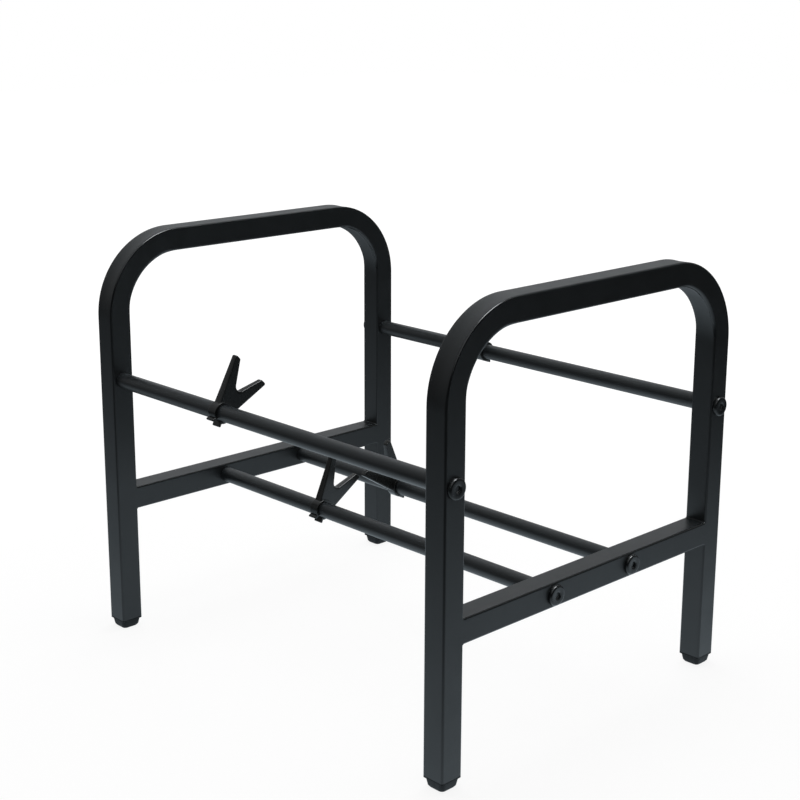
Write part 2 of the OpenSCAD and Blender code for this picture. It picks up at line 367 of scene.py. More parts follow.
def hoop_shell(sizes, side):
    """One square tube bent twice: its section goes up a leg, round a quarter circle and across.

    In a bend the two inside corners are rounder and the two outside ones tighter, and the outer
    and inner walls are drawn in by a dish that is deepest at the middle of the wall.  The edge
    mask is full in the bends and falls to the straights' share of it.
    """
    bend = sizes.bend_radius
    top = HOOP_TOP - HALF_TUBE
    bend_y, bend_z = LEG_Y - bend, top - bend
    leg_z = np.r_[np.linspace(LEG_BOTTOM, bend_z, LEG_STEPS + 1)[:-1], bend_z - BEND_MARGIN]
    turn = np.linspace(math.pi, math.pi / 2, BEND_STEPS + 1)
    top_y = np.r_[BEND_MARGIN - bend_y, np.linspace(-bend_y, 0, TOP_STEPS + 1)[1:]]
    y = np.r_[np.full(len(leg_z), -LEG_Y), bend * np.cos(turn) - bend_y, top_y]
    z = np.r_[leg_z, bend_z + bend * np.sin(turn), np.full(len(top_y), top)]
    facing = np.r_[np.full(len(leg_z), math.pi), turn, np.full(len(top_y), math.pi / 2)]
    into_bend = np.degrees(np.minimum(math.pi - facing, facing - math.pi / 2))
    bent = smooth_step(into_bend / BEND_EASE)
    y = np.r_[y, -y[-2::-1]]
    z = np.r_[z, z[-2::-1]]
    facing = np.r_[facing, math.pi - facing[-2::-1]]
    bent = np.r_[bent, bent[-2::-1]]
    outside = sizes.corner_radius + bent * (sizes.outside_corner - sizes.corner_radius)
    inside = sizes.corner_radius + bent * (sizes.inside_corner - sizes.corner_radius)
    radii = np.stack([outside, outside, inside, inside], axis=1)
    p, q, mask = square_section(HALF_TUBE, HALF_TUBE, radii)
    dish = np.maximum(1 - (p / HALF_TUBE) ** 2, 0) ** 2
    tolerance = 0.01 * MM
    on_wall = np.abs(q) > HALF_TUBE - tolerance
    q = q - np.sign(q) * on_wall * dish * bent[:, None] * sizes.wall_dish
    points = np.stack([
        side * FRAME_X + p,
        y[:, None] + q * np.cos(facing)[:, None],
        z[:, None] + q * np.sin(facing)[:, None],
    ], axis=-1)
    rub = sizes.straight_rub + (1 - sizes.straight_rub) * bent
    return joined(points, mask * rub[:, None])


def crossbar_shell(sizes, side):
    """Square tube between the legs, whose top and bottom rise to the leg in a weld fillet.

    The fillet is the bead's size less the height of a circle of that radius.  The sides stay flush
    with the leg's sides, past its round corners.  The edge mask fades out as the fillet rises.
    """
    bead = sizes.weld_bead
    fillet_y = LEG_INNER_Y - bead
    far_support, near_support = 3 * MM, 1 * MM
    half = np.r_[
        np.linspace(0, fillet_y - far_support, BAR_STEPS + 1),
        fillet_y - near_support,
        fillet_y + bead * np.sin(np.linspace(0, math.pi / 2, FILLET_STEPS + 1)),
        LEG_INNER_Y + sizes.corner_radius,
    ]
    y = np.r_[-half[:0:-1], half]
    climb = np.clip(np.abs(y) - fillet_y, 0, bead)
    rise = bead - np.sqrt(bead**2 - climb**2)
    radii = np.full(len(y), sizes.corner_radius)
    p, q, mask = square_section(HALF_TUBE, HALF_TUBE + rise, radii)
    y = np.broadcast_to(y[:, None], p.shape)
    points = np.stack([side * FRAME_X + p, y, BAR_Z + q], axis=-1)
    return joined(points, mask * (1 - rise / bead)[:, None])


def rod_shell(sizes, node):
    """Round tube: its wall's profile, with quarter-round end edges, turned about its axis."""
    size, middle = box_size(node), box_middle(node)
    half, radius = size.x / 2, size.z / 2
    edge = sizes.rod_edge
    outer_support, bore_support = 4 * edge, 1 * MM
    turn = np.linspace(0, math.pi / 2, ROD_EDGE_STEPS + 1)
    bore = radius - sizes.rod_wall
    end_x = half - edge + edge * np.sin(turn)
    end_r = radius - edge + edge * np.cos(turn)
    x = np.r_[half - outer_support, end_x, half, half - bore_support]
    r = np.r_[radius, end_r, bore, bore]
    x = middle.x + np.r_[x, -x[::-1]]
    r = np.r_[r, r[::-1]][:, None]
    around = np.linspace(0, 2 * math.pi, ROD_STEPS, endpoint=False)
    y, z = middle.y + r * np.cos(around), middle.z + r * np.sin(around)
    points = np.stack([np.broadcast_to(x[:, None], y.shape), y, z], axis=-1)
    return joined(points, np.zeros(y.shape), loop=True)


def hexagon(around, across_flats):
    """Radius of a hexagon in each direction: half its width over the cosine from its flat."""
    sixth = math.pi / 3
    return across_flats / 2 / np.cos(np.mod(around, sixth) - sixth / 2)


def screw_shell(sizes, side, y, z, turn):
    """Low-headed screw as rings of radius and height: socket, flat top, round edge and shank."""
    around = np.linspace(0, 2 * math.pi, HEAD_STEPS, endpoint=False)
    head_r, height, soft = sizes.head_diameter / 2, sizes.head_height, sizes.head_round
    socket, mouth = hexagon(around, sizes.socket_size), sizes.socket_mouth / 2
    shank = sizes.shank_diameter / 2
    floor = height - sizes.socket_depth
    floor_share, floor_cone = 0.86, 0.5 * MM
    bevel_start, bevel_end, mouth_rim = 0.65 * MM, 0.05 * MM, 0.25 * MM
    round_margin, under_edge = 0.3 * MM, 0.15 * MM
    point, point_inset = 1 * MM, 0.8 * MM
    rings = [
        (socket * floor_share, floor),
        (socket, floor + floor_cone),
        (socket, height - bevel_start),
        (mouth, height - bevel_end),
        (mouth + mouth_rim, height),
        (head_r - soft - round_margin, height),
    ]
    for fall in np.linspace(0, math.pi / 2, HEAD_ROUND_STEPS + 1):
        rings.append((head_r - soft + soft * math.sin(fall), height - soft + soft * math.cos(fall)))
    rings += [
        (head_r, under_edge),
        (head_r - under_edge, 0),
        (shank, 0),
        (shank, point - sizes.shank_length),
        (shank - point_inset, -sizes.shank_length),
    ]
    radius = np.stack([np.broadcast_to(r, around.shape) for r, _ in rings])
    rise = np.array([h for _, h in rings])[:, None]
    points = np.stack([
        side * (OUTER_FACE_X + np.broadcast_to(rise, radius.shape)),
        y + radius * np.cos(around + turn),
        z + radius * np.sin(around + turn),
    ], axis=-1)
    return joined(points, np.zeros(radius.shape))


def foot_shell(sizes, node):
    """Plastic foot as a stack of round-cornered squares: pad, flange, finned stem and hollow."""
    middle = box_middle(node)
    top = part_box(node)[1].z
    pad_top = LEG_BOTTOM - sizes.flange
    edge, fin, fin_count = 0.3 * MM, 1.2 * MM, 3
    flange_corner, stem_corner, fin_corner, hollow_corner = 1.6 * MM, 1 * MM, 0.8 * MM, 0.5 * MM
    rows = [
        (sizes.sole_width - 2 * edge, 0, sizes.pad_corner - edge),
        (sizes.sole_width, edge, sizes.pad_corner),
        (sizes.base_width, sizes.sole_edge, sizes.pad_corner),
        (sizes.top_width, pad_top, sizes.pad_corner),
        (TUBE - 2 * edge, pad_top, flange_corner),
        (TUBE, pad_top + edge, flange_corner),
        (TUBE, LEG_BOTTOM - edge / 2, flange_corner),
        (TUBE - edge, LEG_BOTTOM, flange_corner),
    ]
    pitch = (top - LEG_BOTTOM) / fin_count
    for index in range(1, fin_count + 1):
        fin_top = LEG_BOTTOM + index * pitch
        fin_bottom = fin_top - fin
        rows += [
            (sizes.stem_width, fin_top - pitch, stem_corner),
            (sizes.stem_width, fin_bottom, stem_corner),
            (sizes.fin_width, fin_bottom, fin_corner),
            (sizes.fin_width, fin_top, fin_corner),
        ]
    hollow = sizes.stem_width - 2 * sizes.stem_wall
    rows += [(hollow, top, hollow_corner), (hollow, LEG_BOTTOM + sizes.stem_wall, hollow_corner)]
    width, z, radius = np.array(rows).T
    p, q, mask = square_section(width / 2, width / 2, radius)
    z = np.broadcast_to(z[:, None], p.shape)
    return joined(np.stack([middle.x + p, middle.y + q, z], axis=-1), mask)


def clip_place(rod, clip, turn):
    """How a clip's own axes lie on its rod: reach towards the trough, across it, along the rod."""
    axis = box_middle(rod)
    inward = -math.copysign(1.0, axis.y)
    lean = math.pi / 4 + turn
    middle_x = box_middle(clip).x

    def place(reach, across, along):
        y = axis.y + inward * (reach * math.cos(lean) - across * math.sin(lean))
        z = axis.z + reach * math.sin(lean) + across * math.cos(lean)
        return np.stack([middle_x + along, y, z], axis=-1)

    return place


def blade_shell(sizes, place):
    """Y-shaped blade as rungs from the V's edge to the outer edge, followed from tip to tip.

    Each rung runs from a point on the V, a line that turns round its bottom in an arc, to a point
    on the outer edge, which starts inside the grip's wall.  Half the thickness falls evenly with
    the reach, so the blade is a wedge.  It then falls off quarter-round towards the edges of the
    blade: the root of the radius squared less the squares of the shortfalls.
    """
    e = sizes.blade_round
    grip_r = sizes.grip_diameter / 2
    centre = sizes.v_depth + sizes.v_round
    root = np.array([sizes.root_reach, sizes.root_width / 2])
    tip = np.array([sizes.blade_reach, sizes.blade_width / 2]) - sizes.tip_round
    reach = tip - root
    slope = math.atan2(reach[1], reach[0]) + math.asin(sizes.tip_round / np.linalg.norm(reach))
    along = np.array([math.cos(slope), math.sin(slope)])

    # Inner ends of the upper arm's rungs: round the V's bottom, up its side, and on to the tip
    turn = math.pi - np.linspace(0, 1, ARC_STEPS + 1) * (math.pi / 2 - sizes.v_half_angle)
    bottom_x, bottom_y = centre + sizes.v_round * np.cos(turn), sizes.v_round * np.sin(turn)
    share = np.linspace(0, 1, ARM_STEPS + 1)[1:]
    tip_turn = np.linspace(math.pi / 2 + slope, 0, ARC_STEPS)
    corner = tip + sizes.tip_round * np.stack([np.cos(tip_turn), np.sin(tip_turn)], axis=1)
    side_x = np.r_[bottom_x[-1] + share * (corner[0, 0] - bottom_x[-1]), corner[1:, 0]]
    side_y = bottom_y[-1] + (side_x - bottom_x[-1]) * math.tan(sizes.v_half_angle)
    side_y = side_y + quarter_fall(sizes.blade_reach - side_x, sizes.tip_round / 2)
    inner = np.stack([np.r_[bottom_x, side_x], np.r_[bottom_y, side_y]], axis=1)

    # Their outer ends: inside the grip's wall, out along the edge, and round the tip's corner
    hub_share, shoulder_share = 0.87, 0.46
    hub_r = hub_share * grip_r
    back = root @ along - math.sqrt((root @ along) ** 2 - root @ root + hub_r**2)
    start = root - back * along
    swing = math.atan2(start[1], start[0]) * np.linspace(0, 1, HUB_STEPS + 1)
    hub = hub_r * np.stack([np.cos(swing), np.sin(swing)], axis=1)
    shoulder = start + shoulder_share * (corner[0] - start)
    flank_share = np.linspace(0, 1, ARC_STEPS - HUB_STEPS + 1)[1:, None]
    flank = start + flank_share * (shoulder - start)
    arm = shoulder + share[:, None] * (corner[0] - shoulder)
    outer = np.concatenate([hub, flank, arm, corner[1:]])

    # Places along each rung, close together in the edge rounds
    run = outer - inner
    full = np.linalg.norm(run, axis=1)[:, None]
    near = edge_places(e)[None, :]
    d = np.concatenate([
        np.broadcast_to(near, (len(full), near.shape[1])),
        e + (full - 2 * e) * np.linspace(0, 1, FACE_STEPS + 1)[None, 1:],
        full - near[:, -2::-1],
    ], axis=1)
    spot = inner[:, None, :] + run[:, None, :] * (d / full)[..., None]
    taper = (sizes.blade_thickness - sizes.blade_tip) / 2 / (sizes.blade_reach - grip_r)
    half = sizes.blade_thickness / 2 - taper * (spot[..., 0] - grip_r)
    to_tip = sizes.blade_reach - inner[:, :1]
    short = sum(np.clip(e - gap, 0, e) ** 2 for gap in (d, full - d, to_tip))
    half = half - e + np.sqrt(np.maximum(e**2 - short, 0))
    mask = np.sqrt(np.minimum(short, e**2)) / e

    # Both arms, the lower one mirrored and in reverse order, and both faces of the blade
    spot = np.concatenate([(spot * [1, -1])[:0:-1], spot])
    half = np.concatenate([half[:0:-1], half])
    mask = np.concatenate([mask[:0:-1], mask])
    ring = np.concatenate([spot, spot[:, ::-1]], axis=1)
    height = np.concatenate([half, -half[:, ::-1]], axis=1)
    masks = np.concatenate([mask, mask[:, ::-1]], axis=1)
    return joined(place(ring[..., 0], ring[..., 1], height), masks)


def grip_shells(sizes, place, rod_radius):
    """Sprung grip and its lips: a bar along an arc that leaves a slit open, and two straight bars.

    The ends of the bars shrink as their quarter-round edges fall, but never to nothing.
    """
    e, thinnest = sizes.edge_round, 0.02 * MM
    grip_r, half_grip = sizes.grip_diameter / 2, sizes.grip_length / 2
    bore = rod_radius + sizes.grip_clearance
    middle_r = (grip_r + bore) / 2
    end = math.pi - math.asin(sizes.slit_width / 2 / middle_r)
    near, inner_end = edge_places(e)[:-1] / middle_r, end - e / middle_r
    inner_turn = np.linspace(-inner_end, inner_end, GRIP_STEPS + 1)
    turn = np.r_[near - end, inner_turn, (end - near)[::-1]]
    outward = np.stack([np.cos(turn), np.sin(turn)], axis=1)
    path = middle_r * outward
    run = np.r_[0, np.cumsum(np.linalg.norm(np.diff(path, axis=0), axis=1))]
    fall = quarter_fall(np.minimum(run, run[-1] - run), e)
    thick, radii = (grip_r - bore) / 2 - fall, np.maximum(e - fall, thinnest)
    shells = [moulded_bar(path, outward, thick, half_grip - fall, radii, place)]

    # A lip starts inside the grip's wall, and is a hair narrower, so that no two faces coincide
    lip_depth, lip_inset, middle_share, corner_share = 0.8 * MM, 0.05 * MM, 0.7, 0.9
    half_lip = sizes.lip_thickness / 2
    total = sizes.lip_length + half_lip
    left = np.r_[total, total * middle_share, edge_places(half_lip, LIP_END_STEPS)[::-1]]
    width = half_grip - lip_inset - quarter_fall(left, e)
    thick = np.maximum(half_lip - quarter_fall(left, half_lip), thinnest)
    radii = np.minimum(e, corner_share * thick)
    for sign in (-1, 1):
        begin = np.array([-bore - lip_depth, sign * (sizes.slit_width / 2 + half_lip)])
        way = np.array([-math.cos(sizes.lip_flare), sign * math.sin(sizes.lip_flare)])
        path = begin + way * (total - left)[:, None]
        normals = np.broadcast_to([-way[1], way[0]], path.shape)
        shells.append(moulded_bar(path, normals, thick, width, radii, place))
    return shells


# Finishes, with scales in features per metre

# Sockets of a Mix node that mixes colours, where its other kinds of socket have the same names
MIX_SHARE, MIX_FIRST, MIX_SECOND, MIX_RESULT = 0, 6, 7, 2
WHITE = (1.0, 1.0, 1.0)


def wire(tree, node, inputs):
    """Give each named socket of a node its value, or the output that feeds it."""
    for socket, value in inputs.items():
        if isinstance(value, bpy.types.NodeSocket):
            tree.links.new(value, node.inputs[socket])
        else:
            node.inputs[socket].default_value = value


def add_node(tree, kind, inputs=None, **settings):
    """A shader node with its settings and its inputs."""
    made = tree.nodes.new("ShaderNode" + kind)
    for name, value in settings.items():
        setattr(made, name, value)
    wire(tree, made, inputs or {})
    return made


def noise(tree, vector, scale, detail=2.0, roughness=0.5):
    """Output of a noise texture."""
    inputs = {"Vector": vector, "Scale": scale, "Detail": detail, "Roughness": roughness}
    return add_node(tree, "TexNoise", inputs).outputs["Fac"]


def spread(tree, value, low=0.0, high=1.0, to_low=0.0, to_high=1.0):
    """A value carried from one range to another, and held inside it."""
    ends = {"From Min": low, "From Max": high, "To Min": to_low, "To Max": to_high}
    return add_node(tree, "MapRange", {"Value": value, **ends}, clamp=True).outputs["Result"]


def maths(tree, operation, first, second):
    """Output of a Math node."""
    return add_node(tree, "Math", {0: first, 1: second}, operation=operation).outputs["Value"]


def along_way(tree, vector, way):
    """How far a vector reaches along a way: their dot product."""
    made = add_node(tree, "VectorMath", {0: vector, 1: way}, operation="DOT_PRODUCT")
    return made.outputs["Value"]


def mixed(tree, share, first, second):
    """Colour between two, by a share."""
    inputs = {MIX_SHARE: share, MIX_FIRST: (*first, 1.0), MIX_SECOND: (*second, 1.0)}
    return add_node(tree, "Mix", inputs, data_type="RGBA").outputs[MIX_RESULT]


def shaded(base, share):
    """A colour made darker or lighter by a share."""
    return tuple(share * part for part in base)


def bumped(tree, height, strength, depth=0.03 * MM):
    """Normal of a surface with a fine relief."""
    inputs = {"Strength": strength, "Distance": depth, "Height": height}
    return add_node(tree, "Bump", inputs).outputs["Normal"]


def new_group(name, numbers_in, numbers_out):
    """An empty node group: its tree, its inputs, a vector and numbers, and its end node."""
    tree = bpy.data.node_groups.new(name, "ShaderNodeTree")
    tree.interface.new_socket(name="Vector", in_out="INPUT", socket_type="NodeSocketVector")
    for in_out, sockets in (("INPUT", numbers_in), ("OUTPUT", numbers_out)):
        for socket in sockets:
            tree.interface.new_socket(name=socket, in_out=in_out, socket_type="NodeSocketFloat")
    inputs = tree.nodes.new("NodeGroupInput").outputs
    return tree, inputs, tree.nodes.new("NodeGroupOutput")


def spray_group(name):
    """Powder-coat texture: fine orange peel, slow mottling, and a mask of the rubbed edges."""
    tree, inputs, end = new_group(name, ("Edge", "Peel Scale"), ("Peel", "Mottle", "Rub"))
    vector = inputs["Vector"]
    peel = noise(tree, vector, scale=inputs["Peel Scale"], detail=1.0, roughness=0.4)
    grit = noise(tree, vector, scale=2600.0, detail=0.0)
    mottle = noise(tree, vector, scale=38.0, detail=4.0, roughness=0.6)
    wear = noise(tree, vector, scale=130.0, detail=5.0, roughness=0.65)
    peel_share = 0.75
    peel = maths(tree, "MULTIPLY", peel, peel_share)
    grit = maths(tree, "MULTIPLY", grit, 1 - peel_share)
    worn = spread(tree, wear, low=0.52, high=0.74)
    wire(tree, end, {
        "Peel": maths(tree, "ADD", peel, grit),
        "Mottle": spread(tree, mottle, low=0.3, high=0.7),
        "Rub": maths(tree, "MULTIPLY", worn, maths(tree, "POWER", inputs["Edge"], 2.0)),
    })
    return tree


def mould_group(name):
    """Moulded-plastic texture: a fine grain, slow flow marks, and a haze where parts rub."""
    tree, inputs, end = new_group(name, ("Grain Scale",), ("Grain", "Haze"))
    vector = inputs["Vector"]
    stretch = add_node(tree, "Mapping", {"Vector": vector, "Scale": (260.0, 60.0, 60.0)})
    flow = noise(tree, stretch.outputs["Vector"], scale=1.0, detail=3.0, roughness=0.55)
    wire(tree, end, {
        "Grain": noise(tree, vector, scale=inputs["Grain Scale"]),
        "Haze": spread(tree, flow, low=0.35, high=0.75),
    })
    return tree


def shared(name, build, **values):
    """The group or material of that name, made the first time that it is asked for."""
    kept = bpy.data.node_groups.get(name) or bpy.data.materials.get(name)
    return kept or build(name, **values)


def finish_base(name):
    """A new material: its tree, its Principled shader, and its Object coordinates."""
    material = bpy.data.materials.new(name)
    material.use_nodes = True
    tree = material.node_tree
    shader = tree.nodes["Principled BSDF"]
    where = add_node(tree, "TexCoord").outputs["Object"]
    return material, tree, shader, where


def powder_coat(name, base, roughness, polish, peel_scale):
    """Satin black powder coat: orange peel, soft mottling, and smoother, rubbed corners."""
    material, tree, shader, where = finish_base(name)
    edge = add_node(tree, "Attribute", attribute_name="edge").outputs["Fac"]
    spray = shared("Sprayed powder", spray_group)
    inputs = {"Vector": where, "Edge": edge, "Peel Scale": peel_scale}
    coat = add_node(tree, "Group", inputs, node_tree=spray).outputs
    mottle, rub_polish = coat["Mottle"], 0.05
    gloss = spread(tree, mottle, to_low=roughness - 0.03, to_high=roughness + 0.04)
    smoother = maths(tree, "MULTIPLY", edge, polish)
    rubbed = maths(tree, "MULTIPLY", coat["Rub"], rub_polish)
    wire(tree, shader, {
        "Base Color": mixed(tree, mottle, shaded(base, 0.90), shaded(base, 1.12)),
        "Roughness": maths(tree, "SUBTRACT", gloss, maths(tree, "ADD", smoother, rubbed)),
        "Normal": bumped(tree, coat["Peel"], strength=0.12, depth=0.06 * MM),
        "IOR": 1.5,
    })
    return material


def frame_coat(looks):
    """Powder coat of the tube frames."""
    return shared(
        "frame powder coat", powder_coat, base=looks.coat_colour, roughness=looks.coat_roughness,
        polish=looks.edge_polish, peel_scale=900.0,
    )


def moulded(name, base, roughness, ior, grain_scale, grain_strength):
    """Moulded black plastic: a fine grain, with haze and tone that drift along its flow."""
    material, tree, shader, where = finish_base(name)
    mould = shared("Moulded plastic", mould_group)
    inputs = {"Vector": where, "Grain Scale": grain_scale}
    plastic = add_node(tree, "Group", inputs, node_tree=mould).outputs
    haze = plastic["Haze"]
    wire(tree, shader, {
        "Base Color": mixed(tree, haze, base, shaded(base, 1.25)),
        "Roughness": spread(tree, haze, to_low=roughness, to_high=roughness + 0.10),
        "Normal": bumped(tree, plastic["Grain"], grain_strength),
        "IOR": ior,
    })
    return material


def black_plate(name, base, roughness):
    """Glossy black plate on the screws, with faint grain and handling smears."""
    material, tree, shader, where = finish_base(name)
    smear = noise(tree, where, scale=420.0, detail=4.0, roughness=0.6)
    pale = spread(tree, smear, low=0.35, high=0.7)
    wire(tree, shader, {
        "Base Color": mixed(tree, pale, base, shaded(base, 1.5)),
        "Roughness": spread(tree, smear, 0.3, 0.75, roughness - 0.05, roughness + 0.12),
        "Normal": bumped(tree, noise(tree, where, scale=1500.0), strength=0.10),
        "IOR": 1.46,
    })
    return material


def bright_zinc(name, base):
    """Zinc-plated steel with fine turning marks across the axis of the rods."""
    material, tree, shader, where = finish_base(name)
    across = add_node(tree, "Mapping", {"Vector": where, "Scale": (4000.0, 200.0, 200.0)})
    marks = noise(tree, across.outputs["Vector"], scale=1.0)
    wire(tree, shader, {
        "Base Color": mixed(tree, marks, shaded(base, 0.85), base),
        "Roughness": spread(tree, marks, to_low=0.22, to_high=0.42),
        "Normal": bumped(tree, marks, strength=0.2),
        "Metallic": 1.0,
    })
    return material


# Operators: one for each group of like pieces, and one for the stage


class RECORDSTAND_OT_hoops(Operator):
    """Bend the two hoops of square tube"""

    bl_idname = "recordstand.hoops"
    bl_label = "Hoops"

    def execute(self, context):
        sizes, looks = context.scene.recordstand_tubes, context.scene.recordstand_finishes
        coat = frame_coat(looks)
        for side, sign in SIDES.items():
            shell = hoop_shell(sizes, sign)
            make_piece(f"{side}_bent_hoop", [shell], coat, "stand", [f"{side}_hoop"])
        return {"FINISHED"}


class RECORDSTAND_OT_crossbars(Operator):
    """Weld a crossbar between the legs of each hoop"""

    bl_idname = "recordstand.crossbars"
    bl_label = "Crossbars"

    def execute(self, context):
        sizes, looks = context.scene.recordstand_tubes, context.scene.recordstand_finishes
        coat = frame_coat(looks)
        for side, sign in SIDES.items():
            name, node = f"{side}_welded_crossbar", f"{side}_crossbar"
            shell = crossbar_shell(sizes, sign)
            make_piece(name, [shell], coat, "stand", [node])
        return {"FINISHED"}


class RECORDSTAND_OT_rods(Operator):
    """Make the four tubular rods and finish the threaded inserts in their ends"""

    bl_idname = "recordstand.rods"
    bl_label = "Rods and inserts"

    def execute(self, context):
        sizes, looks = context.scene.recordstand_tubes, context.scene.recordstand_finishes
        smoother = 0.02
        # A lighter copy of the frame coat: painted light for the light that the rods catch from the
        # floor
        coat = shared(
            "rod powder coat", powder_coat, base=looks.rod_colour_painted_lighter,
            roughness=looks.coat_roughness - smoother, polish=looks.edge_polish, peel_scale=1200.0,
        )
        zinc = shared("bright zinc", bright_zinc, base=looks.zinc_colour)
        for row in ROWS:
            name, node = f"{row}_tubular_rod", f"{row}_rod"
            make_piece(name, [rod_shell(sizes, node)], coat, "stand", [node])
            for material_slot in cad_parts[f"{row}_rod_inserts"].material_slots:
                material_slot.material = zinc
        return {"FINISHED"}


class RECORDSTAND_OT_screws(Operator):
    """Drive the four low-headed screws into each end frame"""

    bl_idname = "recordstand.screws"
    bl_label = "Screws"

    def execute(self, context):
        sizes, looks = context.scene.recordstand_screws, context.scene.recordstand_finishes
        values = {"base": looks.screw_colour, "roughness": looks.screw_roughness}
        plate = shared("black plate", black_plate, **values)
        for side, sign in SIDES.items():
            name, node = f"{side}_socket_screws", f"{side}_frame_screws"
            shells = []
            for index, row in enumerate(ROWS):
                axis = box_middle(f"{row}_rod")
                turn = math.radians(FIRST_TURN + NEXT_TURN * index)
                shells.append(screw_shell(sizes, sign, axis.y, axis.z, turn))
            make_piece(name, shells, plate, "stand", [node])
        return {"FINISHED"}


class RECORDSTAND_OT_feet(Operator):
    """Mould the four feet in the ends of the legs"""

    bl_idname = "recordstand.feet"
    bl_label = "Feet"

    def execute(self, context):
        sizes, looks = context.scene.recordstand_feet, context.scene.recordstand_finishes
        plastic = shared(
            "foot plastic", moulded, base=looks.foot_colour, roughness=looks.foot_roughness,
            ior=1.3, grain_scale=1600.0, grain_strength=0.25,
        )
        for side in SIDES:
            for end in ("front", "back"):
                node = f"{side}_{end}_foot"
                shell = foot_shell(sizes, node)
                make_piece(f"{node}_pad", [shell], plastic, "stand", [node])
        return {"FINISHED"}


class RECORDSTAND_OT_clips(Operator):
    """Mould the four Y-shaped clips on their rods"""

    bl_idname = "recordstand.clips"
    bl_label = "Clips"

    def execute(self, context):
        sizes, looks = context.scene.recordstand_clips, context.scene.recordstand_finishes
        plastic = shared(
            "clip plastic", moulded, base=looks.clip_colour, roughness=looks.clip_roughness,
            ior=1.5, grain_scale=2200.0, grain_strength=0.08,
        )
        for row in ROWS:
            rod, clip = f"{row}_rod", f"{row}_clip"
            turn = sizes.lower_turn if row.startswith("lower") else 0.0
            place = clip_place(rod, clip, turn)
            shells = [blade_shell(sizes, place)]
            shells += grip_shells(sizes, place, box_size(rod).z / 2)
            make_piece(f"{row}_y_clip", shells, plastic, f"{row}_slider", [clip])
        return {"FINISHED"}


# The camera: place, aim and roll in degrees, lens, and the lens's axis as a pixel of the picture
CAMERA_PLACE = (0.91396, -0.88035, 0.56819)
CAMERA_AZIMUTH = 45.26
CAMERA_ELEVATION = 13.93
CAMERA_ROLL = 0.456
IMAGE_PIXELS = 800
FOCAL_PIXELS = 1555.7
AXIS_PIXEL = (426.8, 362.2)
SENSOR = 36.0

# One square lamp hangs overhead, a little to the left and behind, and lights the stand evenly
LAMP_PLACE = (-0.25, 0.25, 1.35)
LAMP_TARGET = (0.0, 0.0, 0.15)

# To the camera, this share of the floor is a plain glow, and the rest takes light and shadow.
# Between these two distances from the stand that share grows to the whole.
FLOOR_GLOW = 1.10
GLOW_SHARE = 0.80
SHADOW_START, SHADOW_END = 0.45, 1.1

# In reflections the floor is a glowing sheet, a tinted painted reflection of the lit floor, which
# fades into painted shade along slanted ways between two distances
SHEET_TINT = (0.86, 1.0, 1.10)
SHEET_FADES = (
    ((0.30, -0.95, 0.0), 0.20, 0.95),
    ((1.0, -0.10, 0.0), 0.25, 1.35),
    ((-0.2, 1.0, 0.0), 0.15, 1.2),
    ((-1.0, 0.0, 0.0), 0.0, 2.2),
)
SHEET_FAR_SHARE = 0.01

# In reflections the room is the sum of four parts: the way to its middle, the cosines from it at
# which it starts and is full, and its strength at both.  First a wall up to the left and behind,
# then its brightest part, a small panel overhead, which draws thin lines on the rounded edges,
# and a dim glow above the camera's side.
KEY_WAY = (-0.605, 0.453, 0.655)
ROOM_PARTS = (
    (KEY_WAY, -0.2, 0.9, 0.02, 0.52),
    (KEY_WAY, 0.85, 1.0, 0.0, 0.25),
    ((0.30, 0.19, 0.935), 0.945, 0.985, 0.0, 14.0),
    ((0.45, -0.42, 0.79), 0.80, 0.97, 0.0, 0.9),
)
ROOM_TINT = (0.97, 1.0, 1.03)

# The room's even light on the stand
ROOM_LIGHT = 0.30


def aim_camera():
    """Set the camera: its axes come from azimuth, elevation and a small roll."""
    degrees = (CAMERA_AZIMUTH, CAMERA_ELEVATION, CAMERA_ROLL)
    azimuth, elevation, roll = (math.radians(a) for a in degrees)
    right = Vector((math.cos(azimuth), math.sin(azimuth), 0))
    level = Vector((math.sin(azimuth), -math.cos(azimuth), 0))
    back = level * math.cos(elevation) + Vector((0, 0, math.sin(elevation)))
    up = back.cross(right)
    rolled_right = right * math.cos(roll) + up * math.sin(roll)
    rolled_up = up * math.cos(roll) - right * math.sin(roll)
    data = bpy.data.cameras.new("camera")
    data.sensor_width = SENSOR
    data.lens = FOCAL_PIXELS / IMAGE_PIXELS * SENSOR
    data.shift_x = (IMAGE_PIXELS / 2 - AXIS_PIXEL[0]) / IMAGE_PIXELS
    data.shift_y = (AXIS_PIXEL[1] - IMAGE_PIXELS / 2) / IMAGE_PIXELS
    data.clip_start = 0.01
    camera = placed("camera", data)
    axes = Matrix((rolled_right, rolled_up, back)).transposed().to_4x4()
    axes.translation = Vector(CAMERA_PLACE)
    camera.matrix_world = axes
    bpy.context.scene.camera = camera


def hang_lamp():
    """Hang the soft lamp; the world, and not the lamp, is what glossy surfaces mirror."""
    data = bpy.data.lights.new("overhead softbox", "AREA")
    data.shape = "RECTANGLE"
    data.size = data.size_y = 1.3
    data.energy = 12.0
    data.specular_factor = 0.0
    lamp = placed("overhead softbox", data)
    lamp.visible_glossy = False
    turn = (Vector(LAMP_TARGET) - Vector(LAMP_PLACE)).to_track_quat("-Z", "Y")
    lamp.matrix_world = Matrix.Translation(LAMP_PLACE) @ turn.to_matrix().to_4x4()


def looking_rays(tree):
    """Two masks: 1 for the camera's own rays, and 1 for rays that are mirrored or go through."""
    path = add_node(tree, "LightPath").outputs
    mirrored = maths(tree, "MAXIMUM", path["Is Glossy Ray"], path["Is Transmission Ray"])
    return path["Is Camera Ray"], mirrored


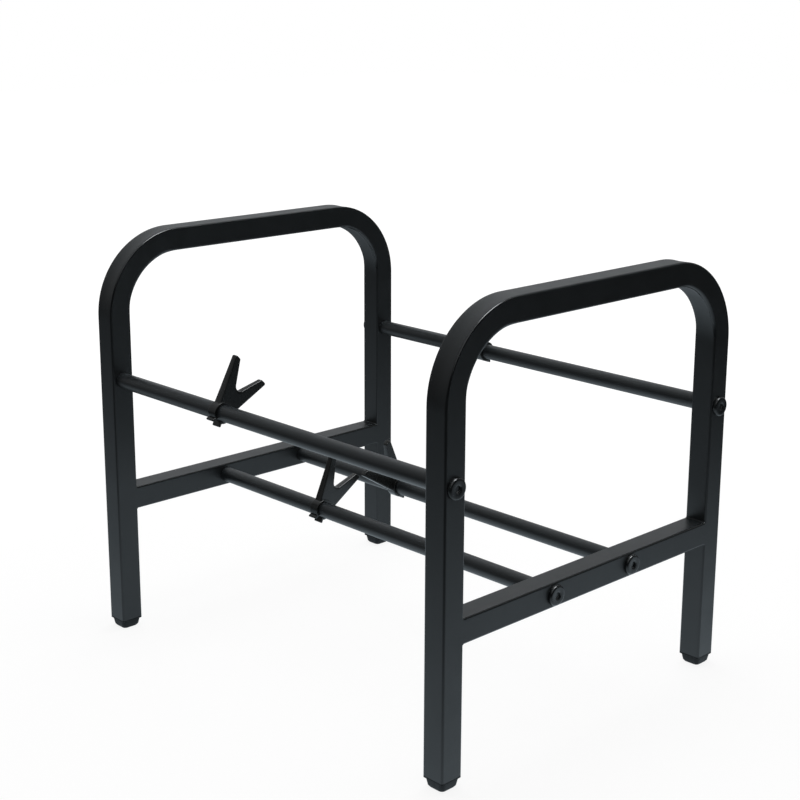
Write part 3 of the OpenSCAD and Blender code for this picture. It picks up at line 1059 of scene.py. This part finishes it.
def lay_floor():
    """Lay a pale sheet: white to the camera, with a faint shadow, and fading in reflections."""
    half, grey = 6.0, 0.80
    corners = [(-half, -half, 0), (half, -half, 0), (half, half, 0), (-half, half, 0)]
    mesh = bpy.data.meshes.new("floor")
    mesh.from_pydata(corners, [], [(0, 1, 2, 3)])
    floor = placed("floor", mesh)
    material, tree, shader, where = finish_base("pale floor")
    mesh.materials.append(material)
    base = (grey, grey, grey, 1.0)
    wire(tree, shader, {"Base Color": base, "Roughness": 0.9, "Specular IOR Level": 0.1})
    camera_ray, mirrored = looking_rays(tree)
    sheet = 1.0
    for way, start, end in SHEET_FADES:
        near = spread(tree, along_way(tree, where, way), start, end, 1.0, 0.0)
        sheet = maths(tree, "MULTIPLY", sheet, maths(tree, "POWER", near, 2.0))
    sheet = spread(tree, sheet, to_low=SHEET_FAR_SHARE)
    seen = maths(tree, "MULTIPLY", camera_ray, FLOOR_GLOW)
    glow = add_node(tree, "Emission", {
        "Color": mixed(tree, camera_ray, SHEET_TINT, WHITE),
        "Strength": maths(tree, "ADD", seen, maths(tree, "MULTIPLY", mirrored, sheet)),
    })
    far = add_node(tree, "VectorMath", {0: where}, operation="LENGTH").outputs["Value"]
    plain = spread(tree, far, SHADOW_START, SHADOW_END, GLOW_SHARE, 1.0)
    glowing = maths(tree, "MAXIMUM", maths(tree, "MULTIPLY", camera_ray, plain), mirrored)
    both = {0: glowing, 1: shader.outputs["BSDF"], 2: glow.outputs["Emission"]}
    surface = add_node(tree, "MixShader", both).outputs["Shader"]
    wire(tree, tree.nodes["Material Output"], {"Surface": surface})


def set_world(scene):
    """Set the world: white to the camera, soft grey as light, and a shaped room in reflections."""
    world = bpy.data.worlds.new("studio")
    scene.world = world
    world.use_nodes = True
    tree = world.node_tree
    camera_ray, mirrored = looking_rays(tree)
    direction = add_node(tree, "TexCoord").outputs["Generated"]
    room = 0.0
    for way, rim, full, strength_out, strength_in in ROOM_PARTS:
        towards = along_way(tree, direction, way)
        part = spread(tree, towards, rim, full, strength_out, strength_in)
        room = maths(tree, "ADD", room, part)
    unseen = maths(tree, "SUBTRACT", 1.0, maths(tree, "ADD", camera_ray, mirrored))
    light = maths(tree, "MULTIPLY", unseen, ROOM_LIGHT)
    seen = maths(tree, "ADD", camera_ray, maths(tree, "MULTIPLY", mirrored, room))
    wire(tree, tree.nodes["Background"], {
        "Color": mixed(tree, mirrored, WHITE, ROOM_TINT),
        "Strength": maths(tree, "ADD", seen, light),
    })


class RECORDSTAND_OT_stage(Operator):
    """Lay the pale floor, and set the world, the soft lamp and the camera"""

    bl_idname = "recordstand.stage"
    bl_label = "Stage"

    def execute(self, context):
        context.scene.view_settings.view_transform = "Standard"
        lay_floor()
        set_world(context.scene)
        hang_lamp()
        aim_camera()
        return {"FINISHED"}


class RECORDSTAND_PT_panel(Panel):
    """Sizes, finishes and pieces of the stand"""

    bl_idname = "RECORDSTAND_PT_panel"
    bl_label = "Record Stand"
    bl_space_type = "VIEW_3D"
    bl_region_type = "UI"
    bl_category = "Record Stand"

    def draw(self, context):
        for operator in OPERATORS:
            self.layout.operator(operator.bl_idname)
        for name, group in GROUPS.items():
            box = self.layout.box()
            values = getattr(context.scene, name)
            for field in group.__annotations__:
                box.prop(values, field)


GROUPS = {
    "recordstand_tubes": TubeSizes,
    "recordstand_screws": ScrewSizes,
    "recordstand_feet": FootSizes,
    "recordstand_clips": ClipSizes,
    "recordstand_finishes": Finishes,
}
OPERATORS = (
    RECORDSTAND_OT_hoops,
    RECORDSTAND_OT_crossbars,
    RECORDSTAND_OT_rods,
    RECORDSTAND_OT_screws,
    RECORDSTAND_OT_feet,
    RECORDSTAND_OT_clips,
    RECORDSTAND_OT_stage,
)
CLASSES = (*GROUPS.values(), *OPERATORS, RECORDSTAND_PT_panel)


def register():
    """Register the classes and give the scene its groups of sizes and finishes."""
    for item in CLASSES:
        bpy.utils.register_class(item)
    for name, group in GROUPS.items():
        setattr(bpy.types.Scene, name, PointerProperty(type=group))


def unregister():
    """Take the groups and classes away again."""
    for name in GROUPS:
        delattr(bpy.types.Scene, name)
    for item in reversed(CLASSES):
        bpy.utils.unregister_class(item)


def main():
    """Make the pieces and the stage."""
    register()
    bpy.ops.recordstand.hoops()
    bpy.ops.recordstand.crossbars()
    bpy.ops.recordstand.rods()
    bpy.ops.recordstand.screws()
    bpy.ops.recordstand.feet()
    bpy.ops.recordstand.clips()
    bpy.ops.recordstand.stage()


if __name__ == "__main__":
    main()
